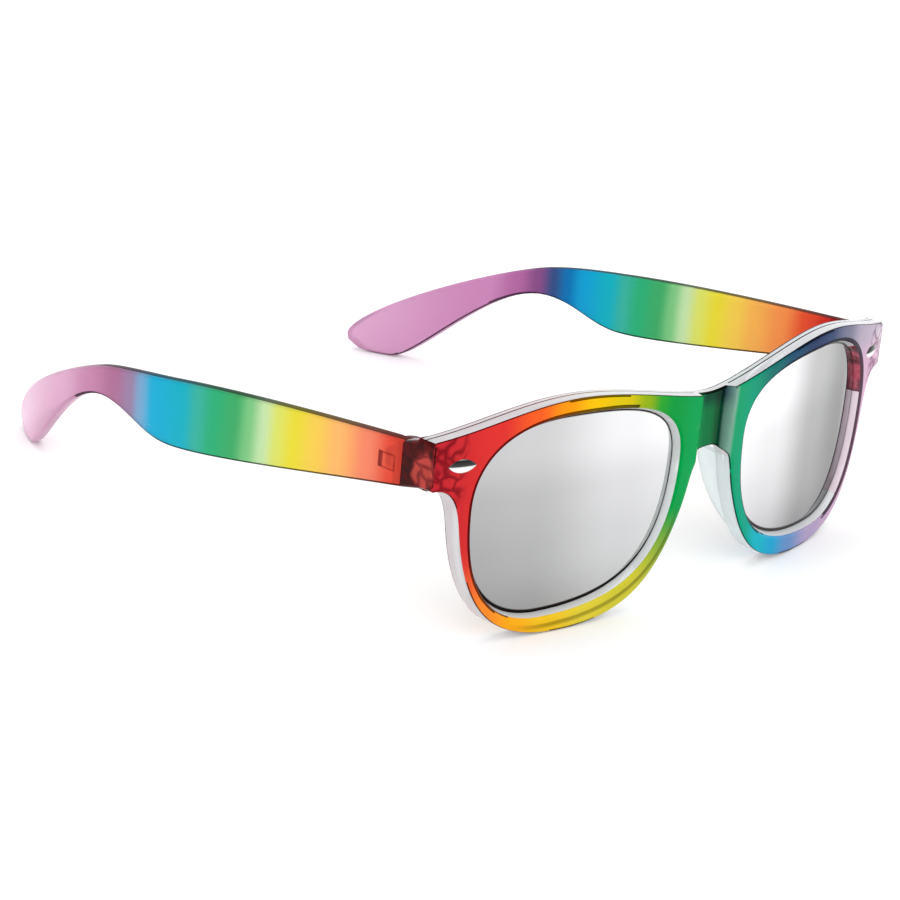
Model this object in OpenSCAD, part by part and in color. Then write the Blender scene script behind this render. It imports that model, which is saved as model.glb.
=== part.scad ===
// Mirrored sunglasses: a clear moulded front with two lenses and two folding temples.
// X runs across the face, Y from the front to the temple tips, and Z is up.
// The rims and the temple tips rest on Z = 0, and the origin is at the middle of the footprint.

/* [Front] */
// How far the front runs on past each lens opening, to its outer side
end_reach = 9.3; // [9:0.1:11]
// Thickness of the front moulding
front_t = 4.2; // [4:0.1:5]
// Radius of the front's curve, seen from above
front_r = 235; // [200:5:400]
// Width of the rim above the lens
rim_top = 3.2; // [2.6:0.1:4.2]
// Width of the rim below the lens
rim_bottom = 3.4; // [2.6:0.1:4.4]
// Width of the rim at the lens's outer side
rim_side = 2.2; // [2:0.1:3]
// Width of the rim beside the nose
rim_nose = 3.1; // [2.4:0.1:3.8]

/* [Lenses] */
// Width of each lens opening
lens_w = 53; // [50:0.5:54]
// Height of each lens opening
lens_h = 42.4; // [38:0.2:46]
// Distance between the two openings
lens_gap = 20.4; // [18:0.2:22]
// Thickness of a lens
lens_t = 1.5; // [1.2:0.1:1.6]
// Depth of the lens behind the front's face
lens_set = 2; // [1.6:0.1:2.1]
// How far the opening narrows from the face to the lens
lens_bevel = 0.8; // [0.4:0.1:1.2]
// How far the groove reaches out past the opening's edge on the face
groove_reach = 0.5; // [0.3:0.1:0.9]
// Clearance of a lens in its groove
lens_clear = 0.1; // [0.05:0.01:0.15]

/* [Bridge] */
// Height of the bridge at the middle
bridge_h = 12; // [9:0.5:14]
// Height of the bridge's arch over the table
bridge_z = 31.5; // [29:0.5:33]
// Width of the recessed saddle between the rims
saddle_w = 11.3; // [8:0.1:12]
// Depth of the saddle
saddle_depth = 2; // [1.4:0.1:2.6]
// Radius at the foot of each of the saddle's steps
saddle_round = 1.2; // [0.4:0.1:1.3]

/* [Nose pads] */
// How far a pad stands behind the front at its top
pad_reach = 7.4; // [4:0.2:10]
// Thickness of a pad
pad_t = 1.8; // [1.4:0.1:2.6]
// Angle by which a pad opens towards the face
pad_splay = 14; // [5:1:25]

/* [End pieces] */
// Height of an end piece on the face
end_h = 10; // [9:0.5:12]
// Height of an end piece's lower edge over the table
end_z = 33.5; // [32:0.5:35]
// Distance from the front's foremost point back to the temple joint
joint_y = 19.5; // [18:0.5:24]
// Width of the solid block behind each end piece
block_w = 8; // [7.2:0.1:9.5]
// Distance from the back of that block to the temple joint
block_room = 3.6; // [2.6:0.1:4]

/* [Trims] */
// Length of a trim's eye shape
trim_w = 6.4; // [5:0.2:8]
// Height of a trim's eye shape
trim_h = 2.9; // [2:0.1:4]
// Thickness of a trim's plate
trim_t = 0.9; // [0.7:0.1:1.2]
// How far a trim's plate stands proud of the face
trim_proud = 0.4; // [0.2:0.1:0.6]
// Distance from the front's outer side to the middle of a trim
trim_inset = 6.3; // [5.6:0.1:6.5]
// Height of a trim over the table
trim_z = 38.4; // [37.5:0.1:39.5]
// Radius of the peg behind a trim
peg_r = 0.6; // [0.4:0.05:0.8]
// Length of that peg
peg_l = 2; // [1:0.1:2.4]
// Clearance of a trim in its seat
trim_clear = 0.04; // [0.02:0.01:0.08]

/* [Hinges] */
// Distance from the outer side to the hinge axis
hinge_inset = 4.8; // [4.7:0.1:5.4]
// Distance of the hinge axis behind the temple joint
hinge_back = 2.2; // [2.1:0.1:3]
// Height of the hinge's middle over the table
hinge_z = 36.4; // [36.2:0.1:36.8]
// Radius of the hinge knuckles
knuckle_r = 1.9; // [1.7:0.05:2]
// Height of the temple's knuckle
knuckle_mid_h = 3.4; // [2.6:0.1:3.6]
// Height of each of the front's two knuckles
knuckle_end_h = 2.3; // [2:0.1:2.5]
// Gap between neighbouring knuckles
knuckle_gap = 0.15; // [0.1:0.01:0.25]
// Clearance round the knuckles where a part turns past them
turn_clear = 0.25; // [0.2:0.01:0.35]
// Gap between a temple and its end piece
joint_gap = 0.15; // [0.1:0.01:0.3]
// Length of the temple's hinge boss behind the joint
boss_l = 6; // [5:0.5:9]
// Radius of the hinge screw
screw_r = 0.7; // [0.5:0.05:0.8]
// Radius of the screw's head
screw_head_r = 1.25; // [1.1:0.05:1.4]
// Height of the screw's head
screw_head_h = 0.7; // [0.5:0.05:0.9]
// Radial clearance of the screw in the knuckles
screw_clear = 0.05; // [0.02:0.01:0.08]

/* [Temples] */
// Length of a temple from the joint to its tip
temple_l = 136; // [130:1:142]
// Thickness of a temple
temple_t = 3.6; // [3.2:0.1:3.6]
// Thickness of a temple at its tip
tip_t = 3; // [2.4:0.1:3.6]
// Height of a temple at the joint
root_h = 9.6; // [9.2:0.1:10]
// Height of the middle of that end over the table
root_z = 37; // [36.8:0.1:37.4]
// Height of a temple at its deepest place
belly_h = 14.4; // [12:0.2:16]
// Height of a temple at the ear bend
neck_h = 5.9; // [5:0.1:8]
// Distance from the joint to the deepest place
belly_y = 65; // [58:1:70]
// Height of the belly's lower edge over the table
belly_z = 20.6; // [18:0.2:22]
// Distance from the joint to the ear bend
neck_y = 87; // [82:1:92]
// Height of the ear bend's lower edge over the table
neck_z = 24.3; // [22:0.1:26]
// How far the tip is drawn in towards the head
tuck = 19; // [8:0.5:20]
// How far the temple bows out half way along
bow = 0.8; // [0:0.1:1.5]
// Radius of the temple's edges
edge_r = 0.9; // [0.5:0.1:1.2]

/* [Hidden] */
clear_red = "#e8402c";
clear_orange = "#f0803a";
mirror_grey = "#c8c8cc";
steel_grey = "#8d8f94";
silver_bright = "#dfe2e6";

// How far a cutting solid runs past what it cuts, and a height above every part
over = 1;
tall = 60;
curve_steps = 14;
round_fn = 64;
slab_fn = 360;

// The point at t on a cubic curve with four control points, and its direction there
function curve_at(c, t) =
    pow(1 - t, 3) * c[0] + 3 * pow(1 - t, 2) * t * c[1] + 3 * (1 - t) * t * t * c[2] + pow(t, 3) * c[3];
function curve_dir(c, t) =
    let (d = pow(1 - t, 2) * (c[1] - c[0]) + 2 * (1 - t) * t * (c[2] - c[1]) + t * t * (c[3] - c[2]))
    d / norm(d);
function heading(angle) = [cos(angle), sin(angle)];
// A curve from a to b, leaving and arriving along the given headings with the two given pulls
function curve_between(a, a_angle, b, b_angle, pulls) =
    [a, a + pulls[0] * heading(a_angle), b - pulls[1] * heading(b_angle), b];
// The same with the pulls as shares of the distance from a to b
function curve_over(a, a_angle, b, b_angle, shares) =
    curve_between(a, a_angle, b, b_angle, norm(b - a) * shares);
// A chain of such curves through several points
function chain(points, headings, shares) = [for (i = [0 : len(shares) - 1])
    curve_over(points[i], headings[i], points[i + 1], headings[i + 1], shares[i])];
function curve_points(c) = [for (i = [0 : curve_steps - 1]) curve_at(c, i / curve_steps)];
function left_of(d) = [-d[1], d[0]];

// The lens opening runs clockwise through its top, outer, bottom and inner extremes
lens_in = lens_gap / 2;
lens_out = lens_in + lens_w;
side_x = lens_out + end_reach;
lens_low = rim_bottom;
lens_high = lens_low + lens_h;
top_share = 0.57;
bottom_share = 0.64;
outer_share = 0.59;
inner_share = 0.67;
eye_top = [lens_in + top_share * lens_w, lens_high];
eye_outer = [lens_out, lens_low + outer_share * lens_h];
eye_bottom = [lens_in + bottom_share * lens_w, lens_low];
eye_inner = [lens_in, lens_low + inner_share * lens_h];
// Each corner's fullness is the pull of its curve along and up, as shares of the corner's size
full_top_outer = [0.7, 0.59];
full_bottom_outer = [0.69, 0.67];
full_bottom_inner = [0.63, 0.77];
full_top_inner = [0.62, 0.82];
function corner_curve(a, a_angle, b, b_angle, full) =
    let (size = [abs(b[0] - a[0]), abs(b[1] - a[1])])
    abs(cos(a_angle)) > 0.5
        ? curve_between(a, a_angle, b, b_angle, [full[0] * size[0], full[1] * size[1]])
        : curve_between(a, a_angle, b, b_angle, [full[1] * size[1], full[0] * size[0]]);
eye_curves = [
    corner_curve(eye_top, 0, eye_outer, -90, full_top_outer),
    corner_curve(eye_outer, -90, eye_bottom, 180, full_bottom_outer),
    corner_curve(eye_bottom, 180, eye_inner, 90, full_bottom_inner),
    corner_curve(eye_inner, 90, eye_top, 0, full_top_inner)
];
function eye(grow) = [
    for (c = eye_curves) for (i = [0 : curve_steps - 1])
        curve_at(c, i / curve_steps) + grow * left_of(curve_dir(c, i / curve_steps))
];

// The front's outline, for the half at positive X, from the middle of the bridge's top
bridge_top = bridge_z + bridge_h;
end_top = end_z + end_h;
nose_lean = 1.2;
nose_share = 0.41;
nose_side = [lens_in - rim_nose + nose_lean, lens_low + nose_share * lens_h];
nose_angle = 111;
low_share = 0.55;
rim_low = [lens_in + low_share * lens_w, 0];
rim_high = [rim_low[0], lens_high + rim_top];
side_share = 0.51;
rim_outer = [lens_out + rim_side, lens_low + side_share * lens_h];
rim_outer_angle = -98;
end_angle = -9;
end_round = 1.4;
end_top_corner = [side_x, end_top];
end_low_corner = [side_x - end_round, end_z];
brow = curve_over([0, bridge_top], 0, rim_high, 0, [0.21, 0.34]);
brow_outer = curve_over(rim_high, 0, end_top_corner, end_angle, [0.37, 0.35]);
end_under = curve_over(end_low_corner, 180, rim_outer, rim_outer_angle, [0.34, 0.54]);
rim_under = curve_over(rim_outer, rim_outer_angle, rim_low, 180, [0.52, 0.45]);
rim_inside = curve_over(rim_low, 180, nose_side, nose_angle, [0.5, 0.39]);
nose_arch = curve_over(nose_side, nose_angle, [0, bridge_z], 180, [0.5, 0.52]);
end_corner = [for (a = [0 : -30 : -90])
    [side_x - end_round, end_z + end_round] + end_round * heading(a)];
half_front = concat(curve_points(brow), curve_points(brow_outer), [end_top_corner], end_corner,
    curve_points(end_under), curve_points(rim_under), curve_points(rim_inside),
    curve_points(nose_arch), [[0, bridge_z]]);

// The front curves back: face_y is the depth of a surface that lies set_back behind the face
function face_y(x, set_back) = front_r - sqrt(pow(front_r - set_back, 2) - x * x);

// Extrudes an outline drawn in X and Z along Y
module upright(from_y, to_y) {
    translate([0, to_y, 0]) rotate([90, 0, 0]) linear_extrude(to_y - from_y) children();
}

// The space between two surfaces that follow the front's curve
module curved_slab(set_back, thickness) {
    translate([0, front_r, -over]) difference() {
        cylinder(r = front_r - set_back, h = tall, $fn = slab_fn);
        translate([0, 0, -over])
            cylinder(r = front_r - set_back - thickness, h = tall + 2 * over, $fn = slab_fn);
    }
}

module both_sides() {
    children();
    mirror([1, 0, 0]) children();
}

// A closed skin over rings of equal length, closed at each end by a fan of triangles
module loft(rings) {
    n = len(rings[0]);
    last = len(rings) - 1;
    points = concat([for (r = rings) each r], [centre_of(rings[0]), centre_of(rings[last])]);
    sides = [for (k = [0 : last - 1]) for (i = [0 : n - 1])
        let (j = (i + 1) % n, a = k * n, b = a + n)
        each [[a + i, b + i, b + j], [a + i, b + j, a + j]]];
    first_cap = [for (i = [0 : n - 1]) [n * (last + 1), i, (i + 1) % n]];
    last_cap = [for (i = [0 : n - 1]) [n * (last + 1) + 1, last * n + (i + 1) % n, last * n + i]];
    polyhedron(points, concat(sides, first_cap, last_cap), convexity = 8);
}
function centre_of(ring) = [for (a = [0 : 2]) sum_of([for (p = ring) p[a]]) / len(ring)];
function sum_of(v, i = 0) = i == len(v) ? 0 : v[i] + sum_of(v, i + 1);

// The temple's side view, as its top and bottom edges from the joint to the tip
root_low = root_z - root_h / 2;
root_high = root_z + root_h / 2;
neck_lean = 4;
tip_high = [0.5, 5.5];
tip_nose = [0.4, 3];
tip_heel = [11, 0.25];
tip_chin = [3.6, 0.6];
top_edge = chain(
    [[0, root_high], [belly_y, belly_z + belly_h], [neck_y + neck_lean, neck_z + neck_h],
        [temple_l - tip_high[0], tip_high[1]], [temple_l - tip_nose[0], tip_nose[1]]],
    [-4.5, -8.5, -18, -60, -110], [[0.32, 0.31], [0.31, 0.27], [0.29, 0.17], [0.35, 0.35]]);
bottom_edge = chain(
    [[0, root_low], [belly_y, belly_z], [neck_y, neck_z],
        [temple_l - tip_heel[0], tip_heel[1]], [temple_l - tip_chin[0], tip_chin[1]]],
    [-10.5, -3, 0, -6, 16], [[0.32, 0.18], [0.4, 0.4], [0.35, 0.13], [0.33, 0.33]]);
tuck_power = 2.1;
function outer_x(y) = side_x + bow * sin(180 * y / temple_l)
    - tuck * pow(max(0, (y - belly_y) / (temple_l - belly_y)), tuck_power);
function thick(y) = temple_t + (tip_t - temple_t) * max(0, y) / temple_l;

// A ring round the temple, between a point on its top edge and one on its bottom edge
ring_turns = [90, 45, 0];
function temple_ring(top, bottom, edge) =
    let (up = (top - bottom) / norm(top - bottom))
    [for (corner = [3 : -1 : 0]) for (turn = ring_turns)
        let (a = corner * 90 + turn,
            across = (corner == 0 || corner == 3) ? 1 : 0,
            high = corner < 2,
            yz = (high ? top : bottom) + up * (high ? -1 : 1) * edge + up * edge * sin(a),
            x = outer_x(yz[0]) - (across == 1 ? edge : thick(yz[0]) - edge) + edge * cos(a))
        [x, joint_y + yz[0], yz[1]]];
function edge_station(edges, i, steps) = i == len(edges) * steps
    ? edges[len(edges) - 1][3]
    : curve_at(edges[floor(i / steps)], (i % steps) / steps);
edge_steps = 10;
temple_rings = [for (i = [0 : len(top_edge) * edge_steps])
    temple_ring(edge_station(top_edge, i, edge_steps), edge_station(bottom_edge, i, edge_steps), edge_r)];

// The middle of the footprint, from the front's foremost point to the tips
foremost_y = face_y(saddle_w / 2, 0);
tip_y = max([for (r = temple_rings) for (p = r) p[1]]);
middle_y = (foremost_y + tip_y) / 2;
module placed() {
    translate([0, -middle_y, 0]) children();
}

// Hinge places, shared by the front, the temples and the screws
hinge_x = side_x - hinge_inset;
hinge_y = joint_y + hinge_back;
mid_low = hinge_z - knuckle_mid_h / 2;
mid_high = hinge_z + knuckle_mid_h / 2;
upper_low = mid_high + knuckle_gap;
upper_high = upper_low + knuckle_end_h;
lower_high = mid_low - knuckle_gap;
lower_low = lower_high - knuckle_end_h;
block_back = joint_y - block_room;
wall_x = side_x - temple_t;
lug_past = 0.5;

module at_hinge(z) {
    translate([hinge_x, hinge_y, z]) children();
}

// One of the front's knuckles with the lug that carries it
module front_knuckle(low, high) {
    lug_in = hinge_x - knuckle_r;
    lug_out = hinge_x + lug_past;
    at_hinge(low) cylinder(r = knuckle_r, h = high - low, $fn = round_fn);
    translate([lug_in, block_back - over, low])
        cube([lug_out - lug_in, hinge_y - block_back + over, high - low]);
    translate([lug_in, block_back - over, low])
        cube([wall_x + over - lug_in, block_room + over - joint_gap, high - low]);
}

// The end piece turns back to meet the temple, with the temple's own section at the joint
end_start = 1.2;
end_flat = 2.6;
module end_piece() {
    joint_ring = temple_ring([0, root_high], [0, root_low], edge_r);
    face_ring = temple_ring([0, end_top], [0, end_z], edge_r);
    start_y = face_y(wall_x, 0) + end_start;
    loft([
        [for (p = face_ring) [p[0], start_y, p[2]]],
        [for (p = face_ring) [p[0], start_y + end_flat, p[2]]],
        joint_ring
    ]);
    translate([side_x - block_w, start_y, end_z + edge_r])
        cube([block_w - temple_t / 2, block_back - start_y, end_h - 2 * edge_r]);
    front_knuckle(lower_low, lower_high);
    front_knuckle(upper_low, upper_high);
}

// The eye shape of a trim, as the overlap of two round discs
module trim_outline(grow) {
    arc_r = (trim_w * trim_w / 4 + trim_h * trim_h / 4) / trim_h;
    intersection() {
        translate([0, arc_r - trim_h / 2]) circle(r = arc_r + grow, $fn = round_fn);
        translate([0, trim_h / 2 - arc_r]) circle(r = arc_r + grow, $fn = round_fn);
    }
}

// Places a trim on the face, square to the front's curve there
trim_x = side_x - trim_inset;
module on_face() {
    translate([trim_x, face_y(trim_x, 0), trim_z])
        rotate([0, 0, asin(trim_x / front_r)]) children();
}

module trim_seat() {
    on_face() {
        upright(-over, trim_t - trim_proud + trim_clear) trim_outline(trim_clear);
        rotate([-90, 0, 0]) cylinder(r = peg_r + trim_clear, h = trim_t + peg_l, $fn = round_fn);
    }
}

// The pad follows the rim's nose side and fades into it towards the bottom
pad_rings = 14;
pad_root = 1;
pad_turn = 0.35;
pad_top = 0.42;
pad_bottom = 0.38;
pad_fade_power = 1.2;
pad_inset = 0.15;
pad_crown = 0.35;
pad_flare = 0.3;
function pad_fade(u) = cos(90 * pow(u, pad_fade_power));
function pad_ring(edge_point, u) =
    let (reach = front_t - pad_root + pad_reach * pad_fade(u),
        out = [sin(pad_splay), cos(pad_splay)],
        flank = [cos(pad_splay), -sin(pad_splay)],
        base = [edge_point[0] + pad_inset, face_y(edge_point[0], 0) + pad_root],
        end = base + reach * out)
    [for (q = [base, end, end + out * pad_crown + flank * pad_t / 3,
            end + out * pad_crown + flank * pad_t * 2 / 3, end + flank * pad_t,
            base + flank * (pad_t + pad_flare)])
        [q[0], q[1], edge_point[1]]];
module nose_pad() {
    loft([for (k = [0 : pad_rings])
        let (u = k / pad_rings,
            edge_point = u < pad_turn
                ? curve_at(nose_arch, pad_top * (1 - u / pad_turn))
                : curve_at(rim_inside, 1 - pad_bottom * (u - pad_turn) / (1 - pad_turn)))
        pad_ring(edge_point, u)]);
}

// The opening narrows from the face to the lens
module eye_bevel() {
    slope = lens_bevel / lens_set;
    loft([for (d = [-over, lens_set + lens_clear])
        [for (p = eye(-slope * d)) [p[0], face_y(p[0], d), p[1]]]]);
}

module eye_cut() {
    upright(-over, joint_y) polygon(eye(-lens_bevel));
    intersection() {
        upright(-over, joint_y) polygon(eye(groove_reach));
        curved_slab(lens_set - lens_clear, lens_t + 2 * lens_clear);
    }
    eye_bevel();
}

module front_frame() {
    color(clear_red) placed() difference() {
        union() {
            intersection() {
                upright(-over, joint_y) union() {
                    polygon(half_front);
                    mirror([1, 0]) polygon(half_front);
                }
                curved_slab(0, front_t);
            }
            both_sides() end_piece();
            both_sides() nose_pad();
        }
        both_sides() eye_cut();
        both_sides() trim_seat();
        both_sides() hinge_bores();
        saddle_cut();
    }
}

// The bridge's recess, with a rounded foot at each step
module saddle_cut() {
    flat = saddle_w - 2 * saddle_round;
    cut_h = bridge_top + over;
    translate([-flat / 2, -over, 0]) cube([flat, over + saddle_depth, cut_h]);
    translate([-saddle_w / 2, -over, 0]) cube([saddle_w, over + saddle_depth - saddle_round, cut_h]);
    both_sides() translate([flat / 2, saddle_depth - saddle_round, 0])
        cylinder(r = saddle_round, h = cut_h, $fn = round_fn);
}

module hinge_bores() {
    at_hinge(lower_low - over)
        cylinder(r = screw_r + screw_clear, h = upper_high - lower_low + 2 * over, $fn = round_fn);
    at_hinge(upper_high - screw_head_h)
        cylinder(r = screw_head_r + screw_clear, h = screw_head_h + over, $fn = round_fn);
}

module lens() {
    color(mirror_grey) placed() intersection() {
        upright(-over, joint_y) polygon(eye(groove_reach - lens_clear));
        curved_slab(lens_set, lens_t);
    }
}

boss_sink = 0.6;
module temple() {
    color(clear_orange) placed() difference() {
        union() {
            difference() {
                loft(temple_rings);
                translate([0, joint_y - over, 0])
                    cube([side_x + over, over + joint_gap, tall]);
                at_hinge(root_low - over)
                    cylinder(r = knuckle_r + turn_clear, h = root_h + 2 * over, $fn = round_fn);
            }
            at_hinge(mid_low) cylinder(r = knuckle_r, h = knuckle_mid_h, $fn = round_fn);
            translate([hinge_x - knuckle_r / 2, hinge_y, mid_low])
                cube([wall_x + boss_sink - hinge_x + knuckle_r / 2, boss_l - hinge_back, knuckle_mid_h]);
        }
        at_hinge(mid_low - over)
            cylinder(r = screw_r + screw_clear, h = knuckle_mid_h + 2 * over, $fn = round_fn);
    }
}

module hinge_screw() {
    slot_w = 0.35;
    slot_depth = 0.3;
    end_inside = 0.2;
    shank_h = upper_high - screw_head_h / 2 - lower_low - end_inside;
    slot_z = upper_high - screw_clear - slot_depth;
    color(steel_grey) placed() difference() {
        union() {
            at_hinge(lower_low + end_inside) cylinder(r = screw_r, h = shank_h, $fn = round_fn);
            at_hinge(upper_high - screw_head_h + screw_clear)
                cylinder(r = screw_head_r, h = screw_head_h - 2 * screw_clear, $fn = round_fn);
        }
        translate([hinge_x - screw_head_r - over, hinge_y - slot_w / 2, slot_z])
            cube([2 * (screw_head_r + over), slot_w, slot_depth + over]);
    }
}

module trim() {
    crown_r = 2.4;
    peg_sink = 0.2;
    color(silver_bright) placed() on_face() {
        intersection() {
            upright(-trim_proud, trim_t - trim_proud) trim_outline(0);
            translate([-trim_w, crown_r - trim_proud, 0]) rotate([0, 90, 0])
                cylinder(r = crown_r, h = 2 * trim_w, $fn = round_fn);
        }
        translate([0, trim_t - trim_proud - peg_sink, 0]) rotate([-90, 0, 0])
            cylinder(r = peg_r, h = peg_l, $fn = round_fn);
    }
}

front_frame();
mirror([1, 0, 0]) lens();  // lens_right
lens();  // lens_left
mirror([1, 0, 0]) temple();  // temple_right
temple();  // temple_left
mirror([1, 0, 0]) hinge_screw();  // hinge_screw_right
hinge_screw();  // hinge_screw_left
mirror([1, 0, 0]) trim();  // trim_right
trim();  // trim_left
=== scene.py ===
"""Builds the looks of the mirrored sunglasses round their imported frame."""

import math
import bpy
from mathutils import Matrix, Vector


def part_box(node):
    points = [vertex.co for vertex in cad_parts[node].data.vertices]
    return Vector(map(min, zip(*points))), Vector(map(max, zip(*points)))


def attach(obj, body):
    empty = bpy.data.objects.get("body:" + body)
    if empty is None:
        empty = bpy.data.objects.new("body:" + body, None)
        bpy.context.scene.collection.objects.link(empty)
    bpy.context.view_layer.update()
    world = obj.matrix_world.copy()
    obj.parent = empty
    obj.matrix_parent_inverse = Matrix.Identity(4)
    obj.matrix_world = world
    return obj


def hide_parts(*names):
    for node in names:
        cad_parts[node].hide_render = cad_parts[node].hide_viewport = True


bl_info = {
    "name": "Mirrored sunglasses",
    "version": (1, 0, 0),
    "blender": (4, 5, 0),
    "location": "3D View > Sidebar > Sunglasses",
    "description": "Clear lacquered sunglasses with mirror lenses, on a pale studio floor",
    "category": "Object",
}

from collections import namedtuple
from functools import partial

import bmesh
import bpy
from mathutils import Matrix, Vector
from mathutils.kdtree import KDTree

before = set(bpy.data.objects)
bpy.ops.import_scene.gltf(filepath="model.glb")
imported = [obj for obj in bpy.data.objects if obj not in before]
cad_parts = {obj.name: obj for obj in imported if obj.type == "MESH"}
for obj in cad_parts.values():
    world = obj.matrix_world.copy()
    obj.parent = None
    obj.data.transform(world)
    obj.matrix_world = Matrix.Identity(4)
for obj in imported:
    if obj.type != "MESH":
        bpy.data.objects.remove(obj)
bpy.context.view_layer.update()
FRONT_LOW, FRONT_HIGH = (Vector(c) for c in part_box("front_frame"))
TEMPLE_HIGH = Vector(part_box("temple_left")[1])

MM = 0.001
# Sizes are in millimetres, with y from the bridge's face and z from the table, as in the frame's source.
SIDE_X = FRONT_HIGH.x / MM
SADDLE_HALF, SADDLE_SOFT = 5.65, 1.3
FRONT_R = 235.0
FACE_Y = FRONT_LOW.y / MM - (FRONT_R - math.sqrt(FRONT_R**2 - SADDLE_HALF**2))
JOINT_Y, JOINT_GAP = 19.5, 0.15
HINGE_X, HINGE_Y, HINGE_Z = SIDE_X - 4.8, JOINT_Y + 2.2, 36.4
KNUCKLE_R, BORE_R, RELIEF_R = 1.9, 0.75, 2.15
MIDDLE_HALF, KNUCKLE_GAP, OUTER_KNUCKLE = 1.7, 0.15, 2.3
ROOT_LOW, ROOT_HIGH = 32.2, 41.8
END_FROM, END_LOW, END_HIGH = 61.5, 33.5, 43.5
BRIDGE_LOW, BRIDGE_HIGH = 31.5, 43.5
LENS_IN, LENS_OUT, LENS_LOW, LENS_HIGH = 10.2, 63.2, 3.4, 45.8
# The nose side of each rim lies between these, and a painted shade line runs round the outer wall at these
# depths, with painted shade behind it on the flank.
NOSE_IN, NOSE_OUT = 6, 25
WALL_SHADE_DEPTHS = (2.5, 2.85)
# How broad the lip round an opening is, and the most that its painted shade line adds.
LIP, LIP_SHADE = 0.45, 0.3
BACK_ROUND = 0.35
# For the coats: the lens's middle, how deep the recess goes, and where the bevel's dark end begins.
LENS_MIDDLE, RECESS_BACK, BEVEL_END_X, BEVEL_END_Z = (37, 24), 3.4, 56, 29
# The lip above a lens is painted dark as shade except between the first two, and beyond the last all lips
# are painted dark.
GAP_FROM, GAP_TO, DARK_FROM = -24, 0, 50
TEMPLE_L, BELLY_Y = 136.0, 65.0
TEMPLE_BOW, TEMPLE_DRAW = 0.8, 19.0
TRIM_IN, TRIM_Z, TRIM_HALF_W, TRIM_HALF_H = 6.3, 38.4, 3.2, 1.45
DOUBLES = 2e-6

# Camera and light, in metres and watts.
CAMERA_PLACE = (-0.4796275, -0.4316634, 0.2382997)
CAMERA_RIGHT = (0.6845036, -0.72375402, 0.08737819)
CAMERA_UP = (0.189053, 0.29198998, 0.93755043)
CAMERA_BACK = (-0.70406945, -0.62523754, 0.33669606)
FOCAL_LENGTH = 122.868
PANELS = (
    ("key_panel", (-0.9, -0.9, 1.1), 1.0, 4),
    ("top_panel", (0.2, 0.3, 1.5), 1.4, 4),
    ("side_panel", (1.2, -0.7, 0.7), 0.8, 2),
)

# Colours seen over a white floor: how far along the front from its right end, then red, green and blue.
FRONT_STOPS = [
    (0.0, 0.52, 0.032, 0.045), (0.1, 0.68, 0.048, 0.044), (0.16, 0.84, 0.13, 0.028),
    (0.205, 0.9, 0.32, 0.01), (0.25, 0.84, 0.52, 0.006), (0.305, 0.66, 0.52, 0.01),
    (0.345, 0.28, 0.42, 0.012), (0.375, 0.03, 0.36, 0.04), (0.4, 0.0, 0.32, 0.065),
    # From 0.458 to 0.529 the green darkens into the bridge's recess as painted shade; 0.5345 and 0.5395 are
    # a painted highlight on its step to the left rim.
    (0.458, 0.0, 0.35, 0.1), (0.478, 0.0, 0.27, 0.085), (0.492, 0.0, 0.19, 0.065),
    (0.505, 0.0, 0.175, 0.06), (0.516, 0.0, 0.1, 0.035), (0.529, 0.0, 0.045, 0.03),
    (0.5345, 0.17, 0.32, 0.26), (0.5395, 0.24, 0.42, 0.34), (0.545, 0.01, 0.34, 0.16),
    (0.6, 0.0, 0.36, 0.24), (0.635, 0.0, 0.44, 0.52), (0.68, 0.0, 0.36, 0.6), (0.73, 0.14, 0.28, 0.54),
    (0.8, 0.42, 0.34, 0.52), (0.9, 0.6, 0.38, 0.52), (1.0, 0.68, 0.42, 0.56),
]
# The same along the lower edge of the right rim, which stays yellow for longer.
LOW_STOPS = [
    (0.0, 0.6, 0.06, 0.05), (0.05, 0.8, 0.12, 0.05), (0.1, 0.92, 0.27, 0.04), (0.15, 0.92, 0.42, 0.02),
    (0.2, 0.84, 0.54, 0.03), (0.27, 0.72, 0.6, 0.06), (0.35, 0.58, 0.54, 0.05), (0.41, 0.38, 0.46, 0.06),
    (0.47, 0.05, 0.34, 0.08),
]
# And along the left rim's brow, where the lacquer lies thickest.
BROW_STOPS = [
    (0.52, 0.0, 0.3, 0.14), (0.58, 0.0, 0.3, 0.18), (0.63, 0.0, 0.16, 0.15), (0.68, 0.0, 0.075, 0.15),
    (0.74, 0.0, 0.035, 0.12), (0.79, 0.02, 0.055, 0.15), (0.85, 0.17, 0.17, 0.26),
    (0.91, 0.42, 0.36, 0.46), (1.0, 0.54, 0.46, 0.56),
]
# The same for a temple, from its joint to its tip.
TEMPLE_STOPS = [
    (0.0, 0.6, 0.04, 0.035), (0.05, 0.84, 0.16, 0.11), (0.1, 0.93, 0.37, 0.25), (0.155, 0.97, 0.6, 0.26),
    (0.2, 0.94, 0.71, 0.18), (0.24, 0.87, 0.78, 0.11), (0.275, 0.8, 0.82, 0.24),
    (0.305, 0.68, 0.84, 0.54), (0.335, 0.34, 0.68, 0.36), (0.365, 0.13, 0.53, 0.25),
    (0.41, 0.08, 0.55, 0.3), (0.445, 0.11, 0.56, 0.46), (0.48, 0.0, 0.55, 0.66), (0.545, 0.0, 0.54, 0.76),
    (0.575, 0.3, 0.52, 0.72), (0.6, 0.44, 0.34, 0.5), (0.645, 0.54, 0.26, 0.42), (0.72, 0.66, 0.34, 0.52),
    (0.81, 0.79, 0.5, 0.67), (1.0, 0.88, 0.62, 0.76),
]
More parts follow.
